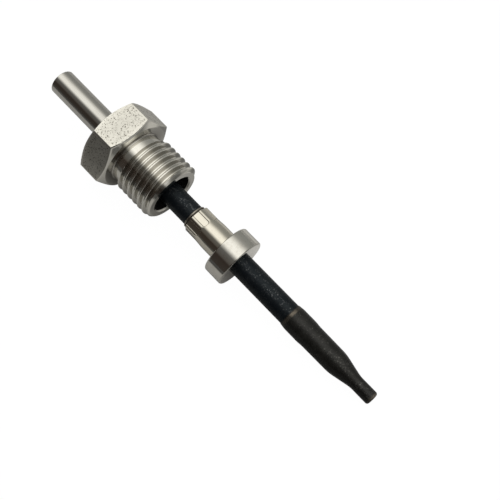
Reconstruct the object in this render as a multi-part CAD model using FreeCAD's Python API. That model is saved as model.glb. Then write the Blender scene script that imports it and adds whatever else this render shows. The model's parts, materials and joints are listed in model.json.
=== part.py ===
import FreeCAD, Part
import math
import os

# Exhaust gas temperature sensor: a slim probe with a crimped stop collar and a loose union nut.
# Every piece is first made about the sensor's own axis: X runs towards the tip, X = 0 is the front
# face of the stop collar, which seats in the exhaust boss, and one flat of the nut faces -Z.
# The finished pieces are then laid down together, as the sensor rests on a bench.
# Lengths are in millimetres, angles in degrees.

# Clearances
press_gap = 0.02            # between pieces pressed or cemented together, radial
wire_gap = 0.02             # round each wire in its bore
nut_tube_clearance = 0.35   # nut's rear hole to the rear tube, radial

# Sheath of the mineral-insulated cable
sheath_diameter = 5.0
sheath_wall = 0.5
sheath_reach = 19.0         # seat face to the sheath's front end

# Stop collar
ring_diameter = 11.6
ring_thickness = 4.6
ring_edge = 0.4             # broken edges of the ring
neck_wall = 0.8
neck_length = 8.8
neck_flare_length = 2.4
swage_length = 2.8          # rear stretch of the neck, pressed onto the sheath
swage_depth = 0.17
neck_edge = 0.1             # broken edge at the neck's rear end
neck_lip_wall = 0.26        # thin round lip behind the crimped stretch
neck_lip_length = 0.65
crimp_count = 8
crimp_turn = 9.0            # first pad's angle from the top
crimp_width = 1.8
crimp_length = 3.4
crimp_depth = 0.2
crimp_corner_radius = 0.5

# Tip cap
cap_wall = 0.24
cap_overlap = 4.8           # length that sits over the sheath
cap_lip = 0.06              # thickness of the chamfered rear edge
cap_chamfer_length = 1.2
cap_step_length = 1.1
cap_step_depth = 0.17
cap_body_length = 7.4
cap_cone_length = 4.9
tip_diameter = 3.0
tip_length = 4.6
tip_edge_radius = 0.5

# Union nut: M14 x 1.5 thread, 17 mm spanner
nut_setback = 16.0          # nut's end face to the collar's back face
thread_diameter = 14.0
thread_length = 9.6
thread_chamfer = 0.75
relief_diameter = 12.3
relief_length = 2.2
relief_root = 0.7           # bevel between the relief and the hexagon's front face
hex_sides = 6
hex_across_flats = 17.0
hex_height = 7.0
hex_chamfer_inset = 0.43    # chamfer circle inside the flats, radial
hex_chamfer_angle = 30.0
nut_bore_diameter = 9.5
nut_bore_edge = 0.3
nut_floor = 4.4             # wall behind the bore
nut_hole_edge = 0.4

# Rear tube and the splice inside it
tube_wall = 0.4
tube_setback = 31.0         # seat face to the tube's front end
tube_overlap = 8.0          # length that the sheath reaches into the tube
tube_edge = 0.15            # broken edges of the tube
conductor_diameter = 0.6
conductor_spacing = 2.0
conductor_nose = 2.4        # bare front end inside the cap
seal_length = 1.6
sleeve_setback = 0.6        # end seal to the splice sleeves
sleeve_wall = 0.16
sleeve_length = 7.0
barrel_wall = 0.22
barrel_length = 5.0
barrel_hold = 2.4           # conductor length inside each crimp barrel
lead_run = 4.4              # room for the leads between splice and grommet
lead_hole_diameter = 1.3
grommet_length = 5.0
grommet_recess = 0.5
grommet_edge = 0.3          # chamfer of the grommet

# Sensing element in the tip
chip_length = 2.3
chip_width = 1.2
chip_thickness = 0.4
chip_clearance = 0.4        # chip to the inside of the tip
chip_lead_diameter = 0.2
chip_lead_spacing = 0.6
chip_lead_hold = 0.7        # lead length on the chip
chip_lead_straight = 0.6    # straight stretch behind the chip
glaze_height = 0.34
insulator_margin = 1.2      # insulator's front end to the start of the cap's cone

# Sizes that follow from those above
sheath_radius = sheath_diameter / 2
sheath_bore_radius = sheath_radius - sheath_wall
sheath_fit_radius = sheath_radius + press_gap
neck_radius = sheath_fit_radius + neck_wall
ring_radius = ring_diameter / 2
ring_rear = -ring_thickness
neck_rear = ring_rear - neck_length
cap_rear = sheath_reach - cap_overlap
cap_step_end = sheath_reach + cap_step_length
cap_cone_start = cap_step_end + cap_body_length
cap_cone_end = cap_cone_start + cap_cone_length
tip_end = cap_cone_end + tip_length
cap_radius = sheath_fit_radius + cap_wall
cap_body_radius = cap_radius - cap_step_depth
tip_radius = tip_diameter / 2
tube_bore_radius = sheath_fit_radius
tube_radius = tube_bore_radius + tube_wall
tube_front = -tube_setback
sheath_rear = tube_front - tube_overlap
sleeve_front = sheath_rear - sleeve_setback
sleeve_rear = sleeve_front - sleeve_length
barrel_front = sleeve_front - (sleeve_length - barrel_length) / 2
barrel_rear = barrel_front - barrel_length
conductor_rear = barrel_front - barrel_hold
conductor_front = sheath_reach + conductor_nose
conductor_radius = conductor_diameter / 2
barrel_bore_radius = conductor_radius + wire_gap
barrel_radius = barrel_bore_radius + barrel_wall
sleeve_bore_radius = barrel_radius + wire_gap
grommet_front = sleeve_rear - lead_run
grommet_rear = grommet_front - grommet_length
tube_rear = grommet_rear - grommet_recess
nut_end = ring_rear - nut_setback
thread_radius = thread_diameter / 2
thread_rear = nut_end - thread_length
hex_front = thread_rear - relief_length
hex_rear = hex_front - hex_height
hex_chamfer_slope = math.tan(math.radians(hex_chamfer_angle))
hex_chamfer_radius = hex_across_flats / 2 - hex_chamfer_inset
chip_front = tip_end - cap_wall - chip_clearance
chip_rear = chip_front - chip_length
chip_lead_radius = chip_lead_diameter / 2
chip_lead_height = chip_thickness / 2 + chip_lead_radius
insulator_front = cap_cone_start - insulator_margin

axis_start = FreeCAD.Vector(0, 0, 0)
axis_direction = FreeCAD.Vector(1, 0, 0)
sides = (-1, 1)             # the two wires lie left and right of the axis


def turned(outline):
    """Solid of revolution about the sensor's axis, from the (along, radius) points of its outline."""
    points = [FreeCAD.Vector(along, 0, radius) for along, radius in outline]
    face = Part.Face(Part.makePolygon(points + points[:1]))
    return face.revolve(axis_start, axis_direction, 360)


def rod(start, end, radius, side_shift=0.0):
    """Round bar parallel to the axis, shifted sideways."""
    base = FreeCAD.Vector(start, side_shift, 0)
    return Part.makeCylinder(radius, end - start, base, axis_direction)


def pipe(start, end, bore_radius, outer_radius, side_shift=0.0):
    """Round tube parallel to the axis, shifted sideways."""
    outer = rod(start, end, outer_radius, side_shift)
    return outer.cut(rod(start, end, bore_radius, side_shift))


def wire_shift(side, spacing):
    """Sideways place of one of the two wires."""
    return side * spacing / 2


def make_sheath_tube():
    """Plain tube from the splice to the inside of the cap."""
    return pipe(sheath_rear, sheath_reach, sheath_bore_radius, sheath_radius)


def make_stop_collar():
    """Ring with a neck whose rear end is swaged down and crimped on the sheath, and a thin lip."""
    swage_front = neck_rear + swage_length
    flare_front = swage_front + neck_flare_length
    swage_radius = neck_radius - swage_depth
    lip_rear = neck_rear - neck_lip_length
    lip_radius = sheath_fit_radius + neck_lip_wall
    collar = turned([
        (0, sheath_fit_radius),
        (0, ring_radius - ring_edge),
        (-ring_edge, ring_radius),
        (ring_rear + ring_edge, ring_radius),
        (ring_rear, ring_radius - ring_edge),
        (ring_rear, neck_radius),
        (flare_front, neck_radius),
        (swage_front, swage_radius),
        (neck_rear + neck_edge, swage_radius),
        (neck_rear, swage_radius - neck_edge),
        (neck_rear, lip_radius),
        (lip_rear, lip_radius),
        (lip_rear, sheath_fit_radius),
    ])
    return collar.cut(Part.makeCompound(crimp_tools(swage_radius)))


def crimp_tools(swage_radius):
    """Flat-nosed jaws of the crimping tool, spread evenly round the neck."""
    jaw_front = neck_rear + crimp_length
    jaw_rear = neck_rear - crimp_corner_radius
    corner = FreeCAD.Vector(jaw_rear, -crimp_width / 2, swage_radius - crimp_depth)
    jaw = Part.makeBox(jaw_front - jaw_rear, crimp_width, ring_radius, corner)
    front_edges = []
    for edge in jaw.Edges:
        upright = edge.BoundBox.ZLength > ring_radius / 2
        if upright and edge.CenterOfMass.x > neck_rear:
            front_edges.append(edge)
    jaw = jaw.makeFillet(crimp_corner_radius, front_edges)
    jaws = []
    for index in range(crimp_count):
        turn = crimp_turn + 360 * index / crimp_count
        jaws.append(jaw.rotated(axis_start, axis_direction, turn))
    return jaws


def make_tip_cap():
    """Thin closed cap, swaged over the sheath's end and drawn down to the narrow, rounded tip."""
    cap = turned([
        (cap_rear, sheath_fit_radius),
        (cap_rear, sheath_fit_radius + cap_lip),
        (cap_rear + cap_chamfer_length, cap_radius),
        (sheath_reach, cap_radius),
        (cap_step_end, cap_body_radius),
        (cap_cone_start, cap_body_radius),
        (cap_cone_end, tip_radius),
        (tip_end, tip_radius),
        (tip_end, 0),
        *cap_cavity(sheath_reach, cap_wall),
        (sheath_reach, sheath_fit_radius),
    ])
    rim = [edge for edge in cap.Edges if edge.Closed and edge.CenterOfMass.x > tip_end - cap_wall / 2]
    return cap.makeFillet(tip_edge_radius, rim)


def cap_cavity(rear, inset):
    """Outline of the room inside the cap's outer form, from the tip back to a rear end."""
    return [
        (tip_end - inset, 0),
        (tip_end - inset, tip_radius - inset),
        (cap_cone_end, tip_radius - inset),
        (cap_cone_start - inset, cap_body_radius - inset),
        (rear, cap_body_radius - inset),
    ]


def make_rear_tube():
    """Bright protective tube with slightly broken edges."""
    return turned([
        (tube_front, tube_bore_radius),
        (tube_front, tube_radius - tube_edge),
        (tube_front - tube_edge, tube_radius),
        (tube_rear + tube_edge, tube_radius),
        (tube_rear, tube_radius - tube_edge),
        (tube_rear, tube_bore_radius),
    ])


def make_union_nut():
    """Hexagon crowned at both ends, with a relieved shank and a stepped bore."""
    corner_radius = hex_across_flats / 2 / math.cos(math.pi / hex_sides)
    blank_radius = corner_radius + hex_chamfer_inset
    crown = (blank_radius - hex_chamfer_radius) * hex_chamfer_slope
    blank = turned([
        (hex_rear, 0),
        (hex_rear, hex_chamfer_radius),
        (hex_rear + crown, blank_radius),
        (hex_front - crown, blank_radius),
        (hex_front, hex_chamfer_radius),
        (hex_front, 0),
    ])
    first_corner = FreeCAD.Vector(hex_rear, corner_radius, 0)
    corners = []
    for index in range(hex_sides):
        turn = FreeCAD.Rotation(axis_direction, 360 * index / hex_sides)
        corners.append(turn.multVec(first_corner))
    outline = Part.makePolygon(corners + corners[:1])
    hexagon = Part.Face(outline).extrude(axis_direction * hex_height)
    relief_radius = relief_diameter / 2
    shank = turned([
        (hex_front - hex_height / 2, 0),
        (hex_front - hex_height / 2, relief_radius + relief_root),
        (hex_front, relief_radius + relief_root),
        (hex_front + relief_root, relief_radius),
        (thread_rear - thread_radius + relief_radius, relief_radius),
        (thread_rear, thread_radius),
        (nut_end - thread_chamfer, thread_radius),
        (nut_end, thread_radius - thread_chamfer),
        (nut_end, 0),
    ])
    nut = hexagon.common(blank).fuse(shank)
    return nut.cut(nut_bore()).removeSplitter()


def nut_bore():
    """Wide bore for the collar's neck, then a narrow hole that slides on the rear tube."""
    hole_radius = tube_radius + nut_tube_clearance
    bore_radius = nut_bore_diameter / 2
    bore_floor = hex_rear + nut_floor
    return turned([
        (hex_rear, 0),
        (hex_rear, hole_radius + nut_hole_edge),
        (hex_rear + nut_hole_edge, hole_radius),
        (bore_floor, hole_radius),
        (bore_floor, bore_radius),
        (nut_end - nut_bore_edge, bore_radius),
        (nut_end, bore_radius + nut_bore_edge),
        (nut_end, 0),
    ])


def make_sheath_insulation():
    """Pressed mineral core with a bore for each conductor."""
    core = rod(sheath_rear + seal_length, sheath_reach, sheath_bore_radius - press_gap)
    return core.cut(conductor_bores(sheath_rear, sheath_reach))


def make_end_seal():
    """Glass bead that closes the cable's rear end round the conductors."""
    bead = rod(sheath_rear, sheath_rear + seal_length, sheath_bore_radius - press_gap)
    return bead.cut(conductor_bores(sheath_rear, sheath_reach))


def conductor_bores(start, end):
    """Bores for both conductors."""
    bore_radius = conductor_radius + wire_gap
    bores = []
    for side in sides:
        bores.append(rod(start, end, bore_radius, wire_shift(side, conductor_spacing)))
    return Part.makeCompound(bores)


def make_conductor(side):
    """Straight solid wire from the crimp barrel to the inside of the cap."""
    return rod(conductor_rear, conductor_front, conductor_radius, wire_shift(side, conductor_spacing))


def make_crimp_barrel(side):
    """Barrel that joins a conductor to its lead."""
    shift = wire_shift(side, conductor_spacing)
    return pipe(barrel_rear, barrel_front, barrel_bore_radius, barrel_radius, shift)


def make_splice_sleeve(side):
    """Insulating sleeve over a crimp barrel."""
    sleeve_radius = sleeve_bore_radius + sleeve_wall
    shift = wire_shift(side, conductor_spacing)
    return pipe(sleeve_rear, sleeve_front, sleeve_bore_radius, sleeve_radius, shift)


def make_rear_grommet():
    """Plug in the tube's rear end with a hole for each lead."""
    plug_radius = tube_bore_radius - press_gap
    plug = turned([
        (grommet_front, 0),
        (grommet_front, plug_radius),
        (grommet_rear + grommet_edge, plug_radius),
        (grommet_rear, plug_radius - grommet_edge),
        (grommet_rear, 0),
    ])
    holes = []
    for side in sides:
        shift = wire_shift(side, conductor_spacing)
        holes.append(rod(grommet_rear, grommet_front, lead_hole_diameter / 2, shift))
    return plug.cut(Part.makeCompound(holes))


def chip_lead_points(side):
    """Route of a lead: on the chip, straight back, aslant to its conductor, straight to the weld."""
    near = wire_shift(side, chip_lead_spacing)
    far = wire_shift(side, conductor_spacing)
    return [
        FreeCAD.Vector(chip_rear + chip_lead_hold, near, chip_lead_height),
        FreeCAD.Vector(chip_rear - chip_lead_straight, near, chip_lead_height),
        FreeCAD.Vector(insulator_front + chip_lead_straight, far, 0),
        FreeCAD.Vector(conductor_front, far, 0),
    ]


def wire_along(points, radius):
    """Round wire along straight runs, mitred at each bend."""
    section = Part.Wire(Part.makeCircle(radius, points[0], points[1] - points[0]))
    return Part.makePolygon(points).makePipeShell([section], True, False, 1)


def make_chip_lead(side):
    """Fine lead from the chip to the front end of its conductor."""
    return wire_along(chip_lead_points(side), chip_lead_radius)


def lead_channels():
    """Room for both leads with their clearance."""
    channels = []
    for side in sides:
        channels.append(wire_along(chip_lead_points(side), chip_lead_radius + wire_gap))
    return Part.makeCompound(channels)


def chip_block(growth=0.0):
    """Flat rectangular chip on the axis."""
    corner = FreeCAD.Vector(chip_rear - growth, -chip_width / 2 - growth, -chip_thickness / 2 - growth)
    return Part.makeBox(
        chip_length + 2 * growth, chip_width + 2 * growth, chip_thickness + 2 * growth, corner)


def make_sensing_chip():
    """Thin-film resistor on its ceramic plate."""
    return chip_block()


def glaze_block(growth=0.0):
    """Drop of glass over the lead ends, as a plain block on the chip."""
    corner = FreeCAD.Vector(chip_rear - growth, -chip_width / 2 - growth, chip_thickness / 2)
    length = chip_lead_hold + chip_lead_diameter + 2 * growth
    return Part.makeBox(length, chip_width + 2 * growth, glaze_height + growth, corner)


def make_chip_glaze():
    """Glass drop with the lead ends set in it."""
    return glaze_block().cut(lead_channels())


def make_twin_bore_insulator():
    """Ceramic spacer behind the cap's cone, with a stepped bore for each conductor and its lead."""
    radius = cap_body_radius - cap_wall - press_gap
    spacer = rod(sheath_reach + press_gap, insulator_front, radius)
    return spacer.cut([conductor_bores(sheath_reach, conductor_front + wire_gap), lead_channels()])


def make_cap_cement():
    """Cement that fills the cap in front of the insulator, round the leads and the chip."""
    rear = insulator_front + press_gap
    fill = turned(cap_cavity(rear, cap_wall + press_gap) + [(rear, 0)])
    return fill.cut([lead_channels(), chip_block(wire_gap), glaze_block(wire_gap)])


def rest_tilt():
    """Angle of the axis when nut and ring lie on the bench, from the line that touches both.

    The line runs from the front edge of the nut's flat to the front rim of the ring.
    """
    flat_front = hex_front - hex_chamfer_inset * hex_chamfer_slope
    run = -ring_edge - flat_front
    rise = hex_across_flats / 2 - ring_radius
    return math.degrees(math.atan2(rise, run))


def rest_placement(shapes):
    """Tilts the sensor tip-down, centres its length and width, and sets its lowest point on Z = 0."""
    tilt = FreeCAD.Rotation(FreeCAD.Vector(0, 1, 0), rest_tilt())
    placement = FreeCAD.Placement(axis_start, tilt)
    box = Part.makeCompound(shapes).transformed(placement.toMatrix()).optimalBoundingBox(False)
    placement.Base = FreeCAD.Vector(-box.Center.x, -box.Center.y, -box.ZMin)
    return placement


def make_pieces():
    """All pieces of the sensor about its own axis, by name."""
    pieces = {
        "union_nut": make_union_nut(),
        "stop_collar": make_stop_collar(),
        "sheath_tube": make_sheath_tube(),
        "tip_cap": make_tip_cap(),
        "rear_tube": make_rear_tube(),
        "rear_grommet": make_rear_grommet(),
        "sheath_insulation": make_sheath_insulation(),
        "end_seal": make_end_seal(),
        "sensing_chip": make_sensing_chip(),
        "chip_glaze": make_chip_glaze(),
        "twin_bore_insulator": make_twin_bore_insulator(),
        "cap_cement": make_cap_cement(),
    }
    for number, side in enumerate(sides, start=1):
        pieces[f"conductor_{number}"] = make_conductor(side)
        pieces[f"crimp_barrel_{number}"] = make_crimp_barrel(side)
        pieces[f"splice_sleeve_{number}"] = make_splice_sleeve(side)
        pieces[f"chip_lead_{number}"] = make_chip_lead(side)
    return pieces


pieces = make_pieces()
placement = rest_placement(list(pieces.values()))
os.makedirs("parts", exist_ok=True)
for name, shape in pieces.items():
    laid = shape.transformed(placement.toMatrix())
    laid.exportStep(f"parts/{name}.step")
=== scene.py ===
"""Looks of an exhaust gas temperature sensor: probe, crimped stop collar and loose union nut.

Lengths in the classes are millimetres along and round the sensor's own axis, unless metres are named.
"Along" runs towards the tip and is zero at the collar's seat face; "turn" is the angle about that
axis, zero at the top. Shares run from 0 to 1.
"""
import json
import logging
import math
from abc import ABC, abstractmethod
from dataclasses import dataclass
from enum import Enum, IntEnum

import bpy
import numpy as np
from mathutils import Matrix, Vector


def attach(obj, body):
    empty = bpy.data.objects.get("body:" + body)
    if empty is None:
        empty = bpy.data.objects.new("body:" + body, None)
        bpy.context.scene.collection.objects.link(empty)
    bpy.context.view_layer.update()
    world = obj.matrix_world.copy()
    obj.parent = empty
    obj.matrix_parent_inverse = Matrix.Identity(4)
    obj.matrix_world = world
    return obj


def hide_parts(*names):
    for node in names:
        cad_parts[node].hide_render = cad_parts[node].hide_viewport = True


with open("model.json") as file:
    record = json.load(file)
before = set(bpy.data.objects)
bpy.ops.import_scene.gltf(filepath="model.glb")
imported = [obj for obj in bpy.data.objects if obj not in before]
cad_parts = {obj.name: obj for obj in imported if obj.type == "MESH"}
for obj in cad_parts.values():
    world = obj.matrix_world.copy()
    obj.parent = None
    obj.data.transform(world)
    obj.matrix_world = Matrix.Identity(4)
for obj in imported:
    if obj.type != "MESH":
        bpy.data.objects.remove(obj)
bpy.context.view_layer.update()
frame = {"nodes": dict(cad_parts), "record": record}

MM = 0.001
FULL_TURN = 2.0 * math.pi
POLE_RADIUS = 1e-9  # a row this near to the axis is one point
SHARP_ANGLE = 28.0  # faces that meet at more degrees than this have a sharp edge
WHITE = (1.0, 1.0, 1.0)
log = logging.getLogger("sensor")

Array = np.ndarray
Pair = tuple[float, float]
Point = tuple[float, float, float]
Colour = tuple[float, float, float]
Socket = bpy.types.NodeSocket


class Body(str, Enum):
    """Bodies of the frame that the pieces ride on."""

    PROBE = "probe"
    NUT = "nut"


class NutZone(IntEnum):
    """Stretches of the nut's surface that have a finish of their own."""

    TURNED = 0
    FLATS = 1
    # inside of the wide bore, finished near-black as painted shade
    BORE = 2


class CollarZone(IntEnum):
    """Stretches of the collar's surface that have a finish of their own."""

    RING = 0
    NECK = 1


@dataclass(frozen=True)
class SensorAxis:
    """The sensor's own axis in the frame of the whole part.

    Args:
        seat: middle of the collar's seat face, in metres.
        tip: unit vector towards the tip.
    """

    seat: Point
    tip: Point

    @classmethod
    def from_record(cls, record: dict) -> "SensorAxis":
        """Reads the axis from the collar's seat mount, which lies beside the axis in Y only.

        Args:
            record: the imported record.

        Returns:
            The sensor's axis.
        """
        seat = next(mount for mount in record["mounts"] if mount["name"] == "collar_seat")
        return cls((seat["pos_m"][0], 0.0, seat["pos_m"][2]), tuple(seat["axis"]))

    @property
    def tilt(self) -> float:
        """Angle by which the axis dips below the level, in radians."""
        return math.atan2(-self.tip[2], self.tip[0])

    def place(self, along: Array, radius: Array, turn: Array) -> Array:
        """Points in that frame: seat + along * tip + radius * (cos turn * up - sin turn * left).

        Args:
            along: distances from the seat face.
            radius: distances from the axis.
            turn: angles from the top about the axis, in radians.

        Returns:
            Points in metres, with a last dimension of three.
        """
        tip = np.array(self.tip)
        left = np.array([0.0, 1.0, 0.0])
        up = np.cross(tip, left)
        out = np.cos(turn)[..., None] * up - np.sin(turn)[..., None] * left
        return np.array(self.seat) + MM * (along[..., None] * tip + radius[..., None] * out)


AXIS = SensorAxis.from_record(frame["record"])


def even_turns(count: int) -> Array:
    """Angles spread evenly over one full turn, without the closing one."""
    return np.arange(count) * FULL_TURN / count


def arc(centre: Pair, radius: float, start: float, end: float, steps: int = 8) -> Array:
    """Outline points on a circle: centre + radius * (cos angle, sin angle).

    Args:
        centre: (along, radius) of the circle's middle.
        radius: the circle's radius.
        start: first angle in degrees, zero towards the tip and 90 away from the axis.
        end: last angle in degrees.
        steps: number of chords.

    Returns:
        Points as rows of (along, radius).
    """
    angle = np.radians(np.linspace(start, end, steps + 1))
    return np.stack([centre[0] + radius * np.cos(angle), centre[1] + radius * np.sin(angle)], axis=1)


def line(*points: Pair) -> Array:
    """Outline points joined by straight lines."""
    return np.array(points, dtype=float)


def smoothstep(low: float, high: float, value: Array) -> Array:
    """Smooth ramp from 0 at low to 1 at high: 3 t^2 - 2 t^3 of the clipped share t."""
    share = np.clip((value - low) / (high - low), 0.0, 1.0)
    return share * share * (3.0 - 2.0 * share)


def bell(off: Array, width: float) -> Array:
    """Bell curve of a distance, 1 in its middle: exp(-(off / width)^2)."""
    return np.exp(-((off / width) ** 2))


def around(value: Array, reach: Array | float, steps: int) -> Array:
    """Samples for a running mean, spread evenly from value - reach to value + reach."""
    return value[..., None] + np.asarray(reach)[..., None] * np.linspace(-1.0, 1.0, steps)


def put(name: str, data: bpy.types.ID) -> bpy.types.Object:
    """Adds an object at the origin.

    Args:
        name: name of the object.
        data: its mesh, lamp or camera.

    Returns:
        The object.
    """
    made = bpy.data.objects.new(name, data)
    bpy.context.scene.collection.objects.link(made)
    return made


class Nodes:
    """Builds the nodes of one tree.

    Args:
        owner: material or surroundings that have the tree.
    """

    def __init__(self, owner: bpy.types.Material | bpy.types.World) -> None:
        """Starts with an empty tree."""
        owner.use_nodes = True
        self.tree = owner.node_tree
        self.tree.nodes.clear()

    def feed(self, socket: Socket, value: object) -> None:
        """Links a socket to another one, or sets its own value.

        Args:
            socket: the input.
            value: another node's output, a number, a place or a colour.
        """
        if isinstance(value, bpy.types.NodeSocket):
            self.tree.links.new(value, socket)
        elif isinstance(value, tuple) and socket.type == "RGBA":
            socket.default_value = (*value, 1.0)
        else:
            socket.default_value = value

    def node(self, kind: str, inputs: dict[str | int, object], **settings: object) -> bpy.types.Node:
        """Adds a node, with its settings and its inputs by name or number.

        Args:
            kind: Blender's name of the node type, after "ShaderNode".
            inputs: values or sockets for its inputs.
            settings: attributes of the node.

        Returns:
            The node.
        """
        made = self.tree.nodes.new("ShaderNode" + kind)
        for key, value in settings.items():
            setattr(made, key, value)
        for key, value in inputs.items():
            self.feed(made.inputs[key], value)
        return made

    def coordinates(self, name: str) -> Socket:
        """One of the texture coordinates."""
        return self.node("TexCoord", {}).outputs[name]

    def part(self, vector: Socket, name: str) -> Socket:
        """One of the X, Y and Z parts of a place."""
        return self.node("SeparateXYZ", {0: vector}).outputs[name]

    def length(self, vector: Socket) -> Socket:
        """Length of a vector."""
        return self.node("VectorMath", {0: vector}, operation="LENGTH").outputs["Value"]

    def math(self, operation: str, first: object, second: object = 0.0) -> Socket:
        """One arithmetic step on two numbers."""
        return self.node("Math", {0: first, 1: second}, operation=operation).outputs[0]

    def times(self, first: object, second: object) -> Socket:
        """Product of two numbers."""
        return self.math("MULTIPLY", first, second)

    def plus(self, first: object, second: object) -> Socket:
        """Sum of two numbers."""
        return self.math("ADD", first, second)

    def ramp(self, value: Socket, limits: Pair, results: Pair = (0.0, 1.0)) -> Socket:
        """Smooth change between two results as a value goes from one limit to the other.

        Args:
            value: the value.
            limits: where the change starts and ends.
            results: the number before and after it.

        Returns:
            The number.
        """
        made = self.node(
            "MapRange",
            {
                "Value": value, "From Min": limits[0], "From Max": limits[1],
                "To Min": results[0], "To Max": results[1],
            },
            interpolation_type="SMOOTHSTEP",
        )
        return made.outputs["Result"]

    def join(self, share: object, first: Socket, second: Socket) -> Socket:
        """Shader between two shaders."""
        return self.node("MixShader", {0: share, 1: first, 2: second}).outputs[0]

    def both(self, first: Socket, second: Socket) -> Socket:
        """Sum of two shaders."""
        return self.node("AddShader", {0: first, 1: second}).outputs[0]


@dataclass(frozen=True)
class Grain:
    """Smooth noise, and the values of it that count as a mark.

    Args:
        scale: cycles for each millimetre.
        detail: number of finer layers.
        rough: strength of each finer layer.
        drawn: scale along the axis, below 1 where marks are drawn out along it.
        limits: noise at which a mark starts, and at which it is full.
    """

    scale: float
    detail: float = 3.0
    rough: float = 0.55
    drawn: float = 1.0
    limits: Pair = (0.35, 0.7)


@dataclass(frozen=True)
class Dots:
    """Scattered round dots of random size.

    Args:
        spacing: mean distance of the points.
        rarest: share of the points that have the smallest dot.
        sizes: smallest and largest radius of a dot, as shares of the spacing; below zero none shows.
        edge: width of the soft edge, as a share of the spacing.
    """

    spacing: float
    rarest: float
    sizes: Pair
    edge: float


class SensorNodes(Nodes):
    """Builds one material of the sensor, with patterns that follow its axis.

    Args:
        name: name of the material.
    """

    def __init__(self, name: str) -> None:
        """Starts the material with its output."""
        self.material = bpy.data.materials.new(name)
        super().__init__(self.material)
        self.output = self.node("OutputMaterial", {})

    def local(self) -> Socket:
        """Place on the sensor in millimetres: X along the axis from the seat face, Z up.

        Returns:
            The place: the object's coordinates turned level, shifted to the seat and scaled.
        """
        turn = Matrix.Rotation(-AXIS.tilt, 3, "Y")
        shift = -(turn @ Vector(AXIS.seat)) / MM
        mapping = self.node(
            "Mapping",
            {
                "Vector": self.coordinates("Object"),
                "Location": tuple(shift),
                "Rotation": (0.0, -AXIS.tilt, 0.0),
                "Scale": (1 / MM, 1 / MM, 1 / MM),
            },
        )
        return mapping.outputs["Vector"]

    def stretched(self, vector: Socket, scale: Point) -> Socket:
        """Place multiplied by a scale for each direction."""
        return self.node("VectorMath", {0: vector, 1: scale}, operation="MULTIPLY").outputs["Vector"]

    def lathe(self, place: Socket) -> Socket:
        """Place on the outline of a turned form: (along, distance from the axis, 0)."""
        reach = self.length(self.stretched(place, (0.0, 1.0, 1.0)))
        return self.node("CombineXYZ", {0: self.part(place, "X"), 1: reach}).outputs[0]

    def noise(self, place: Socket, grain: Grain) -> Socket:
        """Smooth noise from 0 to 1.

        Args:
            place: place on the sensor.
            grain: kind of noise.

        Returns:
            The noise.
        """
        if grain.drawn != 1.0:
            place = self.stretched(place, (grain.drawn, 1.0, 1.0))
        layers = {"Detail": grain.detail, "Roughness": grain.rough}
        return self.node("TexNoise", {"Vector": place, "Scale": grain.scale, **layers}).outputs[0]

    def marks(self, place: Socket, grain: Grain, results: Pair = (0.0, 1.0)) -> Socket:
        """Noise spread between its limits, from the first result to the second."""
        return self.ramp(self.noise(place, grain), grain.limits, results)

    def dots(self, place: Socket, kind: Dots) -> Socket:
        """Scattered dots, 1 inside and 0 outside: a random size less the distance to the point.

        Args:
            place: place on the sensor.
            kind: their sizes and spread.

        Returns:
            The dots.
        """
        cells = self.node("TexVoronoi", {"Vector": place, "Scale": 1.0 / kind.spacing}).outputs
        chance = self.node("SeparateColor", {0: cells["Color"]}).outputs["Red"]
        least, most = kind.sizes
        spread = {"Value": chance, "From Min": kind.rarest, "To Min": least, "To Max": most}
        size = self.node("MapRange", spread).outputs["Result"]
        depth = self.math("SUBTRACT", size, cells["Distance"])
        return self.ramp(depth, (-kind.edge / 2, kind.edge / 2))

    def mix(self, share: object, first: object, second: object) -> Socket:
        """Colour between two colours: the node has them at inputs 6 and 7, and the result at output 2."""
        return self.node("Mix", {0: share, 6: first, 7: second}, data_type="RGBA").outputs[2]

    def attribute(self, name: str) -> Socket:
        """A number that the mesh carries at its points."""
        return self.node("Attribute", {}, attribute_name=name).outputs["Fac"]

    def bump(self, height: Socket, depth: float) -> Socket:
        """Normal of a surface raised by a height from 0 to 1 times a depth in millimetres."""
        return self.node("Bump", {"Height": height, "Distance": depth * MM}).outputs["Normal"]

    def surface(self, **inputs: object) -> bpy.types.Material:
        """Ends the material with a Principled shader.

        Args:
            inputs: its sockets, with underscores for blanks.

        Returns:
            The material.
        """
        values = {key.replace("_", " "): value for key, value in inputs.items()}
        shader = self.node("BsdfPrincipled", values)
        self.feed(self.output.inputs["Surface"], shader.outputs["BSDF"])
        return self.material


def lighter(colour: Colour, factor: float) -> Colour:
    """Colour multiplied by a factor, at most white."""
    return tuple(min(1.0, factor * part) for part in colour)


@dataclass(frozen=True)
class Finish(ABC):
    """Look of a surface, which makes its own material.

    Args:
        name: name of the material.
        colour: its main colour, where it is clean.
        roughness: roughness where it is clean.
    """

    name: str
    colour: Colour
    roughness: float

    @abstractmethod
    def material(self) -> bpy.types.Material:
        """Makes the material, each finish in its own way."""


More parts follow.
